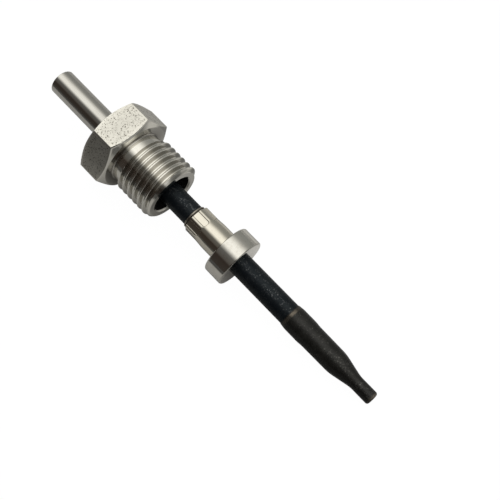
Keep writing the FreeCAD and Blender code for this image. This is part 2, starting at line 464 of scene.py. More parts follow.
@dataclass(frozen=True)
class TurnedSteel(Finish):
    """Bright steel from the lathe: fine rings, faint stains, lengthwise scratches, painted shade in
    corners.

    Args:
        stain: colour where it is stained.
        painted_shade_and_dirt: colour of the painted shade in corners, grooves, pad outlines and thread
            flanks, also used to darken the lip.
        ring_depth: depth of the tool marks.
        scratches: share of scratches.
        painted_shade_and_dirt_dull: roughness that the full painted shade and darkening adds.
        rings: tool marks across the outline.
        scratch: scratches.
        clouds: stains.
        stain_share: share of stain in a scratch, and in a cloud for a full share of scratches.
        cloud_share: least share of stain in a cloud.
        scratch_dull: roughness that a scratch adds.
        cloud_dull: roughness that a cloud adds.
        scratch_depth: depth of a scratch over that of the tool marks.
        worn_share: share of lighter metal on a worn edge.
        worn_gain: brightness of that metal over that of the clean one.
    """

    stain: Colour = (0.47, 0.44, 0.39)
    painted_shade_and_dirt: Colour = (0.10, 0.085, 0.07)
    ring_depth: float = 0.001
    scratches: float = 0.2
    painted_shade_and_dirt_dull: float = 0.6
    rings: Grain = Grain(10.0, 2.0)
    scratch: Grain = Grain(5.0, 4.0, 0.7, 0.12, (0.62, 0.75))
    clouds: Grain = Grain(1.1, 5.0, 0.7, limits=(0.45, 0.7))
    stain_share: float = 0.4
    cloud_share: float = 0.1
    scratch_dull: float = 0.2
    cloud_dull: float = 0.05
    scratch_depth: float = 0.8
    worn_share: float = 0.5
    worn_gain: float = 1.2

    def material(self) -> bpy.types.Material:
        """Noise on the turned outline makes rings, and noise drawn out along it makes scratches.

        Returns:
            The material.
        """
        kit = SensorNodes(self.name)
        place = kit.local()
        scratch = kit.marks(place, self.scratch, (0.0, self.scratches))
        cloud = kit.marks(place, self.clouds)
        # painted shade: the mesh's dark share turns corners, grooves, pad outlines and thread flanks dark
        # and rougher
        painted_shade_and_dirt = kit.attribute("painted_shade_and_dirt")
        worn = kit.times(kit.attribute("wear"), self.worn_share)
        cloud_stain = self.stain_share * self.scratches + self.cloud_share
        tone = kit.mix(kit.times(cloud, cloud_stain), self.colour, self.stain)
        tone = kit.mix(kit.times(scratch, self.stain_share), tone, self.stain)
        tone = kit.mix(worn, tone, lighter(self.colour, self.worn_gain))
        tone = kit.mix(painted_shade_and_dirt, tone, self.painted_shade_and_dirt)
        rough = kit.plus(self.roughness, kit.times(scratch, self.scratch_dull))
        rough = kit.plus(rough, kit.times(cloud, self.cloud_dull))
        rough = kit.plus(rough, kit.times(painted_shade_and_dirt, self.painted_shade_and_dirt_dull))
        rings = kit.noise(kit.lathe(place), self.rings)
        height = kit.math("SUBTRACT", rings, kit.times(scratch, self.scratch_depth))
        return kit.surface(
            Base_Color=tone, Metallic=1.0, Roughness=rough, Normal=kit.bump(height, self.ring_depth)
        )


@dataclass(frozen=True)
class PittedSteel(Finish):
    """Rolled steel of the hexagon's flats: matt and pale, with fine dark pits.

    Args:
        pit: colour inside the pits.
        pit_depth: depth of the pits.
        large_pits: the larger pits.
        small_pits: the smaller pits.
        small_share: depth of the smaller pits over that of the larger ones.
        pit_share: share of the pits' colour in a pit.
        pit_dull: roughness that a pit adds.
        clouds: large darker stretches.
        cloud_gain: brightness of those over that of the clean metal.
        grain: fine grain.
        grain_share: share of the pits' colour and depth in the grain.
        worn_share: share of lighter metal on a worn edge.
        worn_gain: brightness of that metal over that of the clean one.
    """

    pit: Colour
    pit_depth: float = 0.012
    large_pits: Dots = Dots(0.36, 0.1, (0.18, 0.36), 0.12)
    small_pits: Dots = Dots(0.18, 0.3, (-0.2, 0.45), 0.2)
    small_share: float = 0.5
    pit_share: float = 0.9
    pit_dull: float = 0.2
    clouds: Grain = Grain(0.35)
    cloud_gain: float = 0.9
    grain: Grain = Grain(7.0, 3.0, 0.7, limits=(0.5, 0.75))
    grain_share: float = 0.5
    worn_share: float = 0.6
    worn_gain: float = 1.15

    def material(self) -> bpy.types.Material:
        """Two sizes of scattered dots make pits, and noise at two scales makes grain and clouds.

        Returns:
            The material.
        """
        kit = SensorNodes(self.name)
        place = kit.local()
        small = kit.times(kit.dots(place, self.small_pits), self.small_share)
        pits = kit.math("MAXIMUM", kit.dots(place, self.large_pits), small)
        grain = kit.noise(place, self.grain)
        grainy = kit.ramp(grain, self.grain.limits, (0.0, self.grain_share))
        worn = kit.times(kit.attribute("wear"), self.worn_share)
        tone = kit.mix(kit.marks(place, self.clouds), self.colour, lighter(self.colour, self.cloud_gain))
        tone = kit.mix(grainy, tone, self.pit)
        tone = kit.mix(kit.times(pits, self.pit_share), tone, self.pit)
        tone = kit.mix(worn, tone, lighter(self.colour, self.worn_gain))
        height = kit.math("SUBTRACT", kit.times(grain, self.grain_share), pits)
        rough = kit.plus(self.roughness, kit.times(pits, self.pit_dull))
        return kit.surface(
            Base_Color=tone, Metallic=1.0, Roughness=rough, Normal=kit.bump(height, self.pit_depth)
        )


@dataclass(frozen=True)
class DrawnSteel(Finish):
    """Polished drawn tube with fine lengthwise lines.

    Args:
        stain: colour in the lines.
        lines: the lines.
        line_share: share of stain in a line.
        line_depth: depth of the lines.
        clouds: duller stretches.
        cloud_dull: roughness that those add.
    """

    stain: Colour
    lines: Grain = Grain(7.0, 4.0, 0.65, 0.03, (0.45, 0.75))
    line_share: float = 0.6
    line_depth: float = 0.002
    clouds: Grain = Grain(0.5, 4.0, drawn=0.4)
    cloud_dull: float = 0.06

    def material(self) -> bpy.types.Material:
        """Noise drawn out along the axis makes the lines.

        Returns:
            The material.
        """
        kit = SensorNodes(self.name)
        place = kit.local()
        lines = kit.noise(place, self.lines)
        stained = kit.ramp(lines, self.lines.limits, (0.0, self.line_share))
        rough = kit.plus(self.roughness, kit.marks(place, self.clouds, (0.0, self.cloud_dull)))
        return kit.surface(
            Base_Color=kit.mix(stained, self.colour, self.stain), Metallic=1.0, Roughness=rough,
            Normal=kit.bump(lines, self.line_depth),
        )


@dataclass(frozen=True)
class BlackOxide(Finish):
    """Heat-blackened metal, duller patches, flecks worn to grey metal and rubbed edges, with painted
    sheen on top.

    Args:
        haze: colour of the duller patches.
        fleck: colour of the metal in the flecks.
        rubbed: colour of the rubbed edges.
        shine: strength of the skin's mirror share, where 0.5 is that of glass.
        tint: colour of that mirror share.
        painted_sheen_limits: distances to the side of the top between which the painted sheen, and the
            flecks with it, grows rare.
        painted_sheen_side_share: share of the flecks and of their painted sheen that is left there.
        crumbs: fine flecks.
        patches: patches in which the fine flecks lie.
        patch_range: share of the fine flecks outside and inside a patch.
        specks: single round flecks.
        speck_share: share of bare metal in a speck.
        clouds: duller patches.
        rubs: places where the edges are rubbed.
        rub_range: share of rubbing elsewhere and there.
        rub_limits: shares of the painted sheen on top between which the rubbing grows.
        rub_painted_sheen: share of the rubbing at the sides and on the top, painted stronger on top as a
            sheen.
        rub_bare: share of bare metal on a rubbed edge.
        grain: grain of the skin.
        grain_dull: change of roughness by the grain.
        grain_depth: depth of the grain.
    """

    haze: Colour
    fleck: Colour
    rubbed: Colour
    shine: float
    tint: Colour
    painted_sheen_limits: Pair = (0.36, 1.2)
    painted_sheen_side_share: float = 0.12
    crumbs: Grain = Grain(2.6, 5.0, 0.75, limits=(0.52, 0.62))
    patches: Grain = Grain(0.9, drawn=0.55, limits=(0.42, 0.62))
    patch_range: Pair = (0.06, 0.85)
    specks: Dots = Dots(0.34, 0.72, (-0.2, 0.5), 0.2)
    speck_share: float = 0.6
    clouds: Grain = Grain(0.5, 4.0, limits=(0.4, 0.7))
    rubs: Grain = Grain(1.3, limits=(0.32, 0.62))
    rub_range: Pair = (0.5, 1.0)
    rub_limits: Pair = (0.1, 0.7)
    rub_painted_sheen: Pair = (0.25, 1.0)
    rub_bare: float = 0.5
    grain: Grain = Grain(6.0, 4.0, 0.6, limits=(0.3, 0.7))
    grain_dull: Pair = (-0.06, 0.08)
    grain_depth: float = 0.012

    def painted_sheen_on_top(self, kit: SensorNodes, place: Socket) -> Socket:
        """Painted sheen: share from 1 along the top to little at the sides and 0 below.

        Args:
            kit: node builder.
            place: place on the sensor.

        Returns:
            The share.
        """
        across = kit.math("ABSOLUTE", kit.part(place, "Y"))
        near = kit.ramp(across, self.painted_sheen_limits, (1.0, self.painted_sheen_side_share))
        return kit.times(near, kit.ramp(kit.part(place, "Z"), (0.0, 1.0)))

    def material(self) -> bpy.types.Material:
        """Fine noise in patches and scattered dots make the flecks, which are bare metal, painted mostly
        on top as a sheen.

        Returns:
            The material.
        """
        kit = SensorNodes(self.name)
        place = kit.local()
        # painted sheen: flecks and rubbing are kept mostly to the top, where the overhead light falls
        top = self.painted_sheen_on_top(kit, place)
        patches = kit.marks(place, self.patches, self.patch_range)
        crumbs = kit.times(kit.marks(place, self.crumbs), patches)
        specks = kit.times(kit.dots(place, self.specks), self.speck_share)
        flecks = kit.times(kit.math("MAXIMUM", crumbs, specks), top)
        # the dark share leaves the flecks out, for a band of painted shade behind the cap's step
        flecks = kit.times(flecks, kit.math("SUBTRACT", 1.0, kit.attribute("painted_shade_and_dirt")))
        rubbed = kit.marks(place, self.rubs, self.rub_range)
        rubbed = kit.times(rubbed, kit.ramp(top, self.rub_limits, self.rub_painted_sheen))
        rubbed = kit.times(kit.attribute("wear"), rubbed)
        tone = kit.mix(kit.marks(place, self.clouds), self.colour, self.haze)
        tone = kit.mix(flecks, tone, self.fleck)
        tone = kit.mix(rubbed, tone, self.rubbed)
        bare = kit.math("MAXIMUM", flecks, kit.times(rubbed, self.rub_bare))
        grain = kit.noise(place, self.grain)
        rough = kit.plus(self.roughness, kit.ramp(grain, self.grain.limits, self.grain_dull))
        return kit.surface(
            Base_Color=tone, Metallic=bare, Roughness=rough, Specular_IOR_Level=self.shine,
            Specular_Tint=self.tint, Normal=kit.bump(grain, self.grain_depth),
        )


@dataclass(frozen=True)
class GrainyFinish(Finish):
    """Plain stuff with a fine grain, for rubber, ceramics, glass, wires, plastic and the nut bore's
    painted shade.

    Args:
        dark: colour of the darker grains.
        grain: grains for each millimetre.
        depth: height of the grain.
        metallic: 1 for metal.
        transmission: share of light that passes through.
        drawn: scale of the grain along the axis.
        shine: strength of the mirror share, where 0.5 is that of glass.
        detail: number of finer layers of the grain.
        rough: strength of each finer layer.
        tone_limits: grain between which the colour changes.
        dull_limits: grain between which the roughness changes.
        dull: change of roughness by the grain.
    """

    dark: Colour
    grain: float = 8.0
    depth: float = 0.004
    metallic: float = 0.0
    transmission: float = 0.0
    drawn: float = 1.0
    shine: float = 0.5
    detail: float = 4.0
    rough: float = 0.6
    tone_limits: Pair = (0.35, 0.65)
    dull_limits: Pair = (0.3, 0.7)
    dull: Pair = (-0.05, 0.05)

    def material(self) -> bpy.types.Material:
        """Noise mixes the two colours and raises the grain.

        Returns:
            The material.
        """
        kit = SensorNodes(self.name)
        grain = kit.noise(kit.local(), Grain(self.grain, self.detail, self.rough, self.drawn))
        tone = kit.mix(kit.ramp(grain, self.tone_limits), self.dark, self.colour)
        rough = kit.plus(self.roughness, kit.ramp(grain, self.dull_limits, self.dull))
        return kit.surface(
            Base_Color=tone, Metallic=self.metallic, Roughness=rough, Specular_IOR_Level=self.shine,
            Transmission_Weight=self.transmission, Normal=kit.bump(grain, self.depth),
        )


@dataclass
class Band:
    """Rows of a skin, as a grid over outline rows and turns.

    Values that are the same at every turn have one column, and single numbers hold for the whole grid.

    Args:
        along: (rows, turns) places along the axis.
        radius: (rows, turns) distances from the axis.
        zone: finish number of the faces that start on these rows.
        wear: (rows, turns) share of edge wear.
        painted_shade_and_dirt: (rows, turns) share of painted shade in corners, grooves, on edges and
            flanks, and of other darkening.
    """

    along: Array
    radius: Array
    zone: int = 0
    wear: Array | float = 0.0
    painted_shade_and_dirt: Array | float = 0.0

    @classmethod
    def turned(cls, outline: Array, zone: int = 0, painted_shade_and_dirt: float = 0.0) -> "Band":
        """Rows of a turned form, from an outline of (along, radius)."""
        return cls(outline[:, :1], outline[:, 1:], zone, 0.0, painted_shade_and_dirt)


@dataclass
class Skin:
    """Closed surface made of bands whose last row joins the first, round the whole axis.

    Args:
        bands: the rows, in order along the outline.
        turns: angles of the grid's columns.
    """

    bands: list[Band]
    turns: Array

    def grid(self, name: str) -> Array:
        """One of the bands' values at every point of the grid.

        Args:
            name: field of the bands.

        Returns:
            The values as (rows, turns).
        """
        columns = len(self.turns)
        shapes = [(len(band.along), columns) for band in self.bands]
        values = [getattr(band, name) for band in self.bands]
        return np.concatenate([np.broadcast_to(value, shape) for value, shape in zip(values, shapes)])

    def faces(self, radius: Array) -> tuple[Array, Array]:
        """Corner numbers of the grid's quads, with each row on the axis drawn together to a pole.

        Args:
            radius: (rows, turns) radii, zero on a pole row.

        Returns:
            Quads as an (n, 4) array whose pole corners repeat, and the row number of each quad.
        """
        rows, columns = radius.shape
        corner = np.arange(rows * columns).reshape(rows, columns)
        pole = np.all(radius < POLE_RADIUS, axis=1)
        corner[pole] = corner[pole, :1]
        below = np.roll(corner, -1, axis=0)
        quads = [corner, np.roll(corner, -1, axis=1), np.roll(below, -1, axis=1), below]
        return np.stack(quads, axis=-1).reshape(-1, 4), np.repeat(np.arange(rows), columns)

    def mesh(self, name: str) -> bpy.types.Mesh:
        """Turns the grid into a mesh with outward faces, smooth shading, zones, wear and darkening, most
        of it painted shade.

        Quads with two equal corners become triangles, and those with two such pairs are left out.

        Args:
            name: name of the mesh.

        Returns:
            The mesh.
        """
        radius = self.grid("radius")
        points = AXIS.place(self.grid("along"), radius, self.turns).reshape(-1, 3)
        quads, row_of = self.faces(radius)
        quads = outward(points, quads)
        top = quads[:, 0] == quads[:, 1]
        low = quads[:, 2] == quads[:, 3]
        kinds = [(~(top | low), [0, 1, 2, 3]), (top & ~low, [0, 2, 3]), (low & ~top, [0, 1, 2])]
        faces = [quads[chosen][:, corners] for chosen, corners in kinds]
        zone_of = self.grid("zone")[:, 0][row_of]
        used, numbers = np.unique(np.concatenate([part.ravel() for part in faces]), return_inverse=True)
        ends = np.cumsum([part.size for part in faces])[:-1]
        polygons = []
        for part, renumbered in zip(faces, np.split(numbers, ends)):
            polygons += renumbered.reshape(part.shape).tolist()
        mesh = bpy.data.meshes.new(name)
        mesh.from_pydata(points[used].tolist(), [], polygons)
        zones = np.concatenate([zone_of[chosen] for chosen, _ in kinds])
        mesh.polygons.foreach_set("material_index", zones.astype(np.int32))
        # the dark share is mostly painted shade in corners, grooves and along edges
        for share in ("wear", "painted_shade_and_dirt"):
            stored = mesh.attributes.new(share, "FLOAT", "POINT")
            stored.data.foreach_set("value", self.grid(share).ravel()[used].astype(np.float32))
        mesh.shade_smooth()
        mesh.set_sharp_from_angle(angle=math.radians(SHARP_ANGLE))
        mesh.update()
        return mesh

    def add(self, name: str, finishes: list[Finish], body: Body, node: str, slot: str) -> None:
        """Puts the skin into the scene as a piece that stands for a node of the frame.

        Args:
            name: name of the piece.
            finishes: looks, in the order of the bands' zones.
            body: body that it rides on.
            node: node that it replaces.
            slot: the record's material slot; not used.
        """
        mesh = self.mesh(name)
        for finish in finishes:
            mesh.materials.append(finish.material())
        piece = put(name, mesh)
        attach(piece, body.value)
        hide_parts(node)
        log.info("%s: %d faces", name, len(mesh.polygons))


def outward(points: Array, quads: Array) -> Array:
    """Turns all quads round if the volume that they enclose comes out negative.

    The volume is a sixth of the sum of the triple products of each face's corners.

    Args:
        points: corner places.
        quads: corner numbers.

    Returns:
        Quads that face outwards.
    """
    a, b, c, d = (points[quads[:, k]] for k in range(4))
    volume = np.einsum("ij,ij->", a, np.cross(b, c)) + np.einsum("ij,ij->", a, np.cross(c, d))
    return quads if volume > 0 else quads[:, ::-1]


@dataclass(frozen=True)
class Hexagon:
    """Spanner hexagon with rounded corners, crowned at both ends.

    Args:
        front: front face.
        rear: rear face.
        across_flats: spanner size.
        sides: number of sides.
        corner_round: rounding of the corners.
        corner_wear: half width of the worn line on the corners.
        crown_inset: chamfer circle inside the flats.
        crown_angle: angle of the crowns in degrees.
        crown_round: half width of the rounding where crowns and flats meet.
        crown_rows: grid rows of a crown's cone.
        flat_rows: grid rows of the flats.
        corner_columns: grid columns on a rounded corner.
        flat_columns: grid columns on a flat.
    """

    front: float = -32.4
    rear: float = -39.4
    across_flats: float = 17.0
    sides: int = 6
    corner_round: float = 0.22
    corner_wear: float = 0.16
    crown_inset: float = 0.43
    crown_angle: float = 30.0
    crown_round: float = 0.1
    crown_rows: int = 4
    flat_rows: int = 9
    corner_columns: int = 7
    flat_columns: int = 29

    @property
    def apothem(self) -> float:
        """Distance from the axis to a flat."""
        return self.across_flats / 2

    @property
    def half_side(self) -> float:
        """Angle from the middle of a flat to a corner, in radians."""
        return math.pi / self.sides

    @property
    def flat_half_angle(self) -> float:
        """Angle from the middle of a flat to where its corner's rounding starts."""
        return math.atan2((self.apothem - self.corner_round) * math.tan(self.half_side), self.apothem)

    @property
    def turns(self) -> Array:
        """Even angles on each flat, and closer ones at the rounded corners.

        Returns:
            The angles of the grid's columns, in radians.
        """
        half = self.half_side
        blend = half - self.flat_half_angle
        near = half + blend * np.linspace(-1.0, 1.0, self.corner_columns)
        plain = np.linspace(half + blend, 3 * half - blend, self.flat_columns + 2)[1:-1]
        side = np.concatenate([near, plain])
        return (side[None, :] + 2 * half * np.arange(self.sides)[:, None]).ravel()

    @property
    def radius(self) -> Array:
        """Radius at each turn: apothem / cos on a flat, the far side of a circle at a corner.

        Returns:
            The radii of the grid's columns.
        """
        half = self.half_side
        off_flat = np.abs((self.turns + half) % (2 * half) - half)
        off_corner = half - off_flat
        centre = (self.apothem - self.corner_round) / math.cos(half)
        inside = np.maximum(self.corner_round**2 - (centre * np.sin(off_corner)) ** 2, 0.0)
        rounded = centre * np.cos(off_corner) + np.sqrt(inside)
        return np.where(off_flat <= self.flat_half_angle, self.apothem / np.cos(off_flat), rounded)

    def crown(self, face: float, inward: float) -> tuple[Band, Array]:
        """Cone of a crown from its circle on an end face out to the rounded edge on the flats.

        The edge's row is the middle of a curve that starts on the cone, heads for the sharp edge and
        ends on the flats: (start + 2 * sharp + end) / 4.

        Args:
            face: place of the end face.
            inward: 1 if the hexagon lies ahead of that face, -1 if behind.

        Returns:
            The cone's band, and where along the axis the flats start.
        """
        angle = math.radians(self.crown_angle)
        circle = self.apothem - self.crown_inset
        reach = self.radius
        sharp_along = face + inward * (reach - circle) * math.tan(angle)
        share = np.linspace(0.0, 1.0, self.crown_rows)[:, None]
        cone_radius = circle + share * (reach - self.crown_round * math.cos(angle) - circle)
        cone_along = face + inward * (cone_radius - circle) * math.tan(angle)
        flat_along = sharp_along + inward * self.crown_round
        edge_along = (cone_along[-1] + 2 * sharp_along + flat_along) / 4
        edge_radius = (cone_radius[-1] + 2 * reach + reach) / 4
        along = np.vstack([cone_along, edge_along])
        wear = np.zeros(along.shape)
        wear[-2:] = 1.0
        return Band(along, np.vstack([cone_radius, edge_radius]), NutZone.TURNED, wear), flat_along

    def bands(self) -> list[Band]:
        """Rear crown, flats and front crown.

        Returns:
            The bands.
        """
        rear, rear_along = self.crown(self.rear, 1.0)
        front, front_along = self.crown(self.front, -1.0)
        share = np.linspace(0.0, 1.0, self.flat_rows)[:, None]
        off_corner = np.abs(self.turns % (2 * self.half_side) - self.half_side) * self.apothem
        wear = np.tile(bell(off_corner, self.corner_wear), (self.flat_rows, 1))
        wear[[0, -1]] = 1.0
        return [
            rear,
            Band(rear_along + share * (front_along - rear_along), self.radius, NutZone.FLATS, wear),
            Band(front.along[::-1], front.radius[::-1], NutZone.TURNED, front.wear[::-1]),
        ]


@dataclass(frozen=True)
class Thread:
    """Threaded shank with its run-out and chamfered end.

    Args:
        end: end face, a hair short of the collar's ring at the end of the nut's slide.
        rear: where the full thread ends.
        radius: outer radius.
        pitch: pitch.
        depth: height from root to crest.
        crest: place of a crest at the top of the nut.
        crest_width: width of the flat on the crests.
        crest_wear: half width of the worn line on each edge of a crest.
        flank_angle: angle of the flanks from square, in degrees.
        flank_painted_shade: share of painted shade on the flanks.
        flank_fade: distances from crest and root between which that painted shade grows.
        edge_round: half width of the rounding of crests and roots.
        chamfer: chamfer of the end.
        run_out: length over which the thread rises from the relief.
        rows: grid rows.
        mean_steps: samples of the running mean that rounds the edges.
    """

    end: float = -20.62
    rear: float = -29.75
    radius: float = 7.0
    pitch: float = 1.5
    depth: float = 0.87
    crest: float = -21.12
    crest_width: float = 0.22
    crest_wear: float = 0.07
    flank_angle: float = 30.0
    flank_painted_shade: float = 0.25
    flank_fade: Pair = (0.03, 0.15)
    edge_round: float = 0.05
    chamfer: float = 0.75
    run_out: float = 0.45
    rows: int = 260
    mean_steps: int = 7

    @property
    def start(self) -> float:
        """Where the thread starts to rise from the relief."""
        return self.rear - self.run_out

    def band(self, turns: Array, relief_radius: float) -> Band:
        """Rows of the thread.

        Crests advance one pitch for each right-hand turn. Beyond half the crest's width, the depth is
        the distance to the crest over the tangent of the flank angle, up to the root; a running mean
        rounds both edges. The end chamfer and the run-out cone cap it.

        Args:
            turns: angles of the grid's columns.
            relief_radius: radius of the relief behind the thread.

        Returns:
            The band.
        """
        along = np.linspace(self.start, self.end, self.rows)[:, None]
        phase = (along - self.crest) / self.pitch - turns / FULL_TURN
        off_crest = self.pitch * np.abs(phase - np.round(phase))
        off_edge = np.abs(around(off_crest, self.edge_round, self.mean_steps)) - self.crest_width / 2
        flank = off_edge / math.tan(math.radians(self.flank_angle))
        below = np.clip(flank, 0.0, self.depth).mean(axis=-1)
        rise = np.clip((along - self.start) / self.run_out, 0.0, 1.0)
        cone = relief_radius + rise * (self.radius - relief_radius)
        chamfer = self.radius - np.maximum(along - (self.end - self.chamfer), 0.0)
        radius = np.minimum(np.minimum(self.radius - below, cone), chamfer)
        wear = bell(off_crest - self.crest_width / 2, self.crest_wear)
        # painted shade: the flanks are darkened, while the crests and roots stay bright
        flanks = smoothstep(*self.flank_fade, below) * smoothstep(*self.flank_fade, self.depth - below)
        return Band(along, radius, NutZone.TURNED, wear, self.flank_painted_shade * flanks)


@dataclass
class UnionNut:
    """Loose nut: hexagon, relief, threaded shank and stepped bore.

    Args:
        hexagon: the hexagon.
        thread: the threaded shank.
        relief_radius: radius of the relief between them.
        relief_gap: distance from the relief's last row to the thread.
        hollow: radius of the hollow between relief and hexagon.
        hollow_painted_shade: share of painted shade in the hollow.
        hollow_fade: length over which that painted shade ends.
        bore_radius: radius of the wide bore.
        bore_edge: broken edge of the bore.
        bore_floor: bottom of the wide bore.
        hole_radius: radius of the hole round the rear tube.
        hole_edge: broken edge of that hole.
        turned: finish of the turned surfaces.
        flats: finish of the flats.
        bore_painted_shade: near-black finish inside the bore, standing in as painted shade.
    """

    hexagon: Hexagon = Hexagon()
    thread: Thread = Thread()
    relief_radius: float = 6.15
    relief_gap: float = 0.1
    hollow: float = 0.35
    hollow_painted_shade: float = 0.45
    hollow_fade: float = 0.15
    bore_radius: float = 4.75
    bore_edge: float = 0.3
    bore_floor: float = -35.0
    hole_radius: float = 3.27
    hole_edge: float = 0.4
    turned: TurnedSteel = TurnedSteel(
        "nut_turned", (0.66, 0.645, 0.595), 0.09, ring_depth=0.0005, scratches=0.1, painted_shade_and_dirt_dull=0.1
    )
    flats: PittedSteel = PittedSteel("nut_flats", (0.64, 0.625, 0.57), 0.29, (0.11, 0.095, 0.075))
    # painted shade: the bore gets a near-black finish because it lies in shadow
    bore_painted_shade: GrainyFinish = GrainyFinish(
        "nut_bore_painted_shade", (0.016, 0.015, 0.014), 0.7, (0.008, 0.0075, 0.007), shine=0.15
    )

    def relief(self) -> list[Band]:
        """Hollow at the hexagon's front face in painted shade, and the clean relief down to the thread.

        Returns:
            The bands.
        """
        foot = (self.hexagon.front + self.hollow, self.relief_radius + self.hollow)
        plain = line(
            (foot[0] + self.hollow_fade, self.relief_radius),
            (self.thread.start - self.relief_gap, self.relief_radius),
        )
        # painted shade: the hollow's corner is darkened
        hollow = Band.turned(arc(foot, self.hollow, 180.0, 270.0), painted_shade_and_dirt=self.hollow_painted_shade)
        return [hollow, Band.turned(plain)]

    def bore(self) -> list[Band]:
        """End face, wide bore, its floor, the hole at the rear and the rear face.

        Returns:
            The bands.
        """
        rear = self.hexagon.rear
        end = self.thread.end
        inside = line(
            (end - self.bore_edge, self.bore_radius), (self.bore_floor, self.bore_radius),
            (self.bore_floor, self.hole_radius), (rear + self.hole_edge, self.hole_radius),
        )
        return [
            Band.turned(line((end, self.bore_radius + self.bore_edge))),
            Band.turned(inside, NutZone.BORE),
            Band.turned(line((rear, self.hole_radius + self.hole_edge), (rear, self.relief_radius))),
        ]

    def build(self) -> None:
        """Makes the nut as one closed skin and dresses it."""
        turns = self.hexagon.turns
        thread = self.thread.band(turns, self.relief_radius)
        skin = Skin([*self.hexagon.bands(), *self.relief(), thread, *self.bore()], turns)
        skin.add("nut_shell", [self.turned, self.flats, self.bore_painted_shade], Body.NUT, "union_nut", "nut_steel")


@dataclass(frozen=True)
class CrimpPads:
    """Pads pressed into the neck of the collar, with low ridges between them.

    Args:
        count: number of pads.
        turn: angle of the first pad from the top, in degrees.
        width: width of a pad.
        length: length of a pad.
        depth: depth of a pad.
        corner_round: rounding of a pad's front corners.
        edge: half width of the step at a pad's edge.
        crown: share by which a pad keeps the neck's curve.
        line_width: half width of the line of painted shade round a pad.
        line_painted_shade: share of painted shade in that line.
        ridge_height: height of the metal pushed up between two pads.
        ridge_width: half width of that ridge.
        ridge_fade: distances ahead of the pads' front between which it rises.
    """

    count: int = 8
    turn: float = 3.5
    width: float = 1.5
    length: float = 3.4
    depth: float = 0.2
    corner_round: float = 0.5
    edge: float = 0.05
    crown: float = 0.55
    line_width: float = 0.085
    line_painted_shade: float = 0.45
    ridge_height: float = 0.06
    ridge_width: float = 0.26
    ridge_fade: Pair = (0.1, -0.6)

    def outside(self, ahead: Array, across: Array) -> Array:
        """Distance from the edge of a rectangle with rounded front corners, below zero inside.

        Args:
            ahead: distances ahead of the pads' front.
            across: distances to the side of the nearest pad's middle.

        Returns:
            The distances.
        """
        side = across - (self.width / 2 - self.corner_round)
        front = ahead + self.corner_round
        beyond = np.hypot(np.maximum(side, 0.0), np.maximum(front, 0.0))
        return beyond + np.minimum(np.maximum(side, front), 0.0) - self.corner_round

    def press(self, ahead: Array, turns: Array, radius: float, neck: Array) -> tuple[Array, Array]:
        """Presses the pads into a neck.

        A pad lies between a plane, radius = distance / cos(angle off the pad's middle), and a smaller
        cylinder, and a smooth step leads to it. Between two pads the metal rises in a low bell curve.

        Args:
            ahead: distances ahead of the pads' front.
            turns: angles of the grid's columns.
            radius: radius of the neck at the pads.
            neck: radii of the neck before.

        Returns:
            Radii of the neck after, and the share of painted shade round the pads.
        """
        spread = FULL_TURN / self.count
        off = (turns - math.radians(self.turn) + spread / 2) % spread - spread / 2
        outside = self.outside(ahead, np.abs(radius * np.sin(off)))
        plane = (radius - self.depth) / np.cos(off)
        curved = radius - self.depth / 2
        pressed = np.minimum(plane + self.crown * (curved - plane), neck)
        between = radius * math.sin(spread / 2) - self.width / 2
        ridge = self.ridge_height * bell(outside - between, self.ridge_width)
        raised = neck + ridge * smoothstep(*self.ridge_fade, ahead)
        share = smoothstep(self.edge, -self.edge, outside)
        # the second result is a line of painted shade round each pad
        return raised + share * (pressed - neck), self.line_painted_shade * bell(outside, self.line_width)


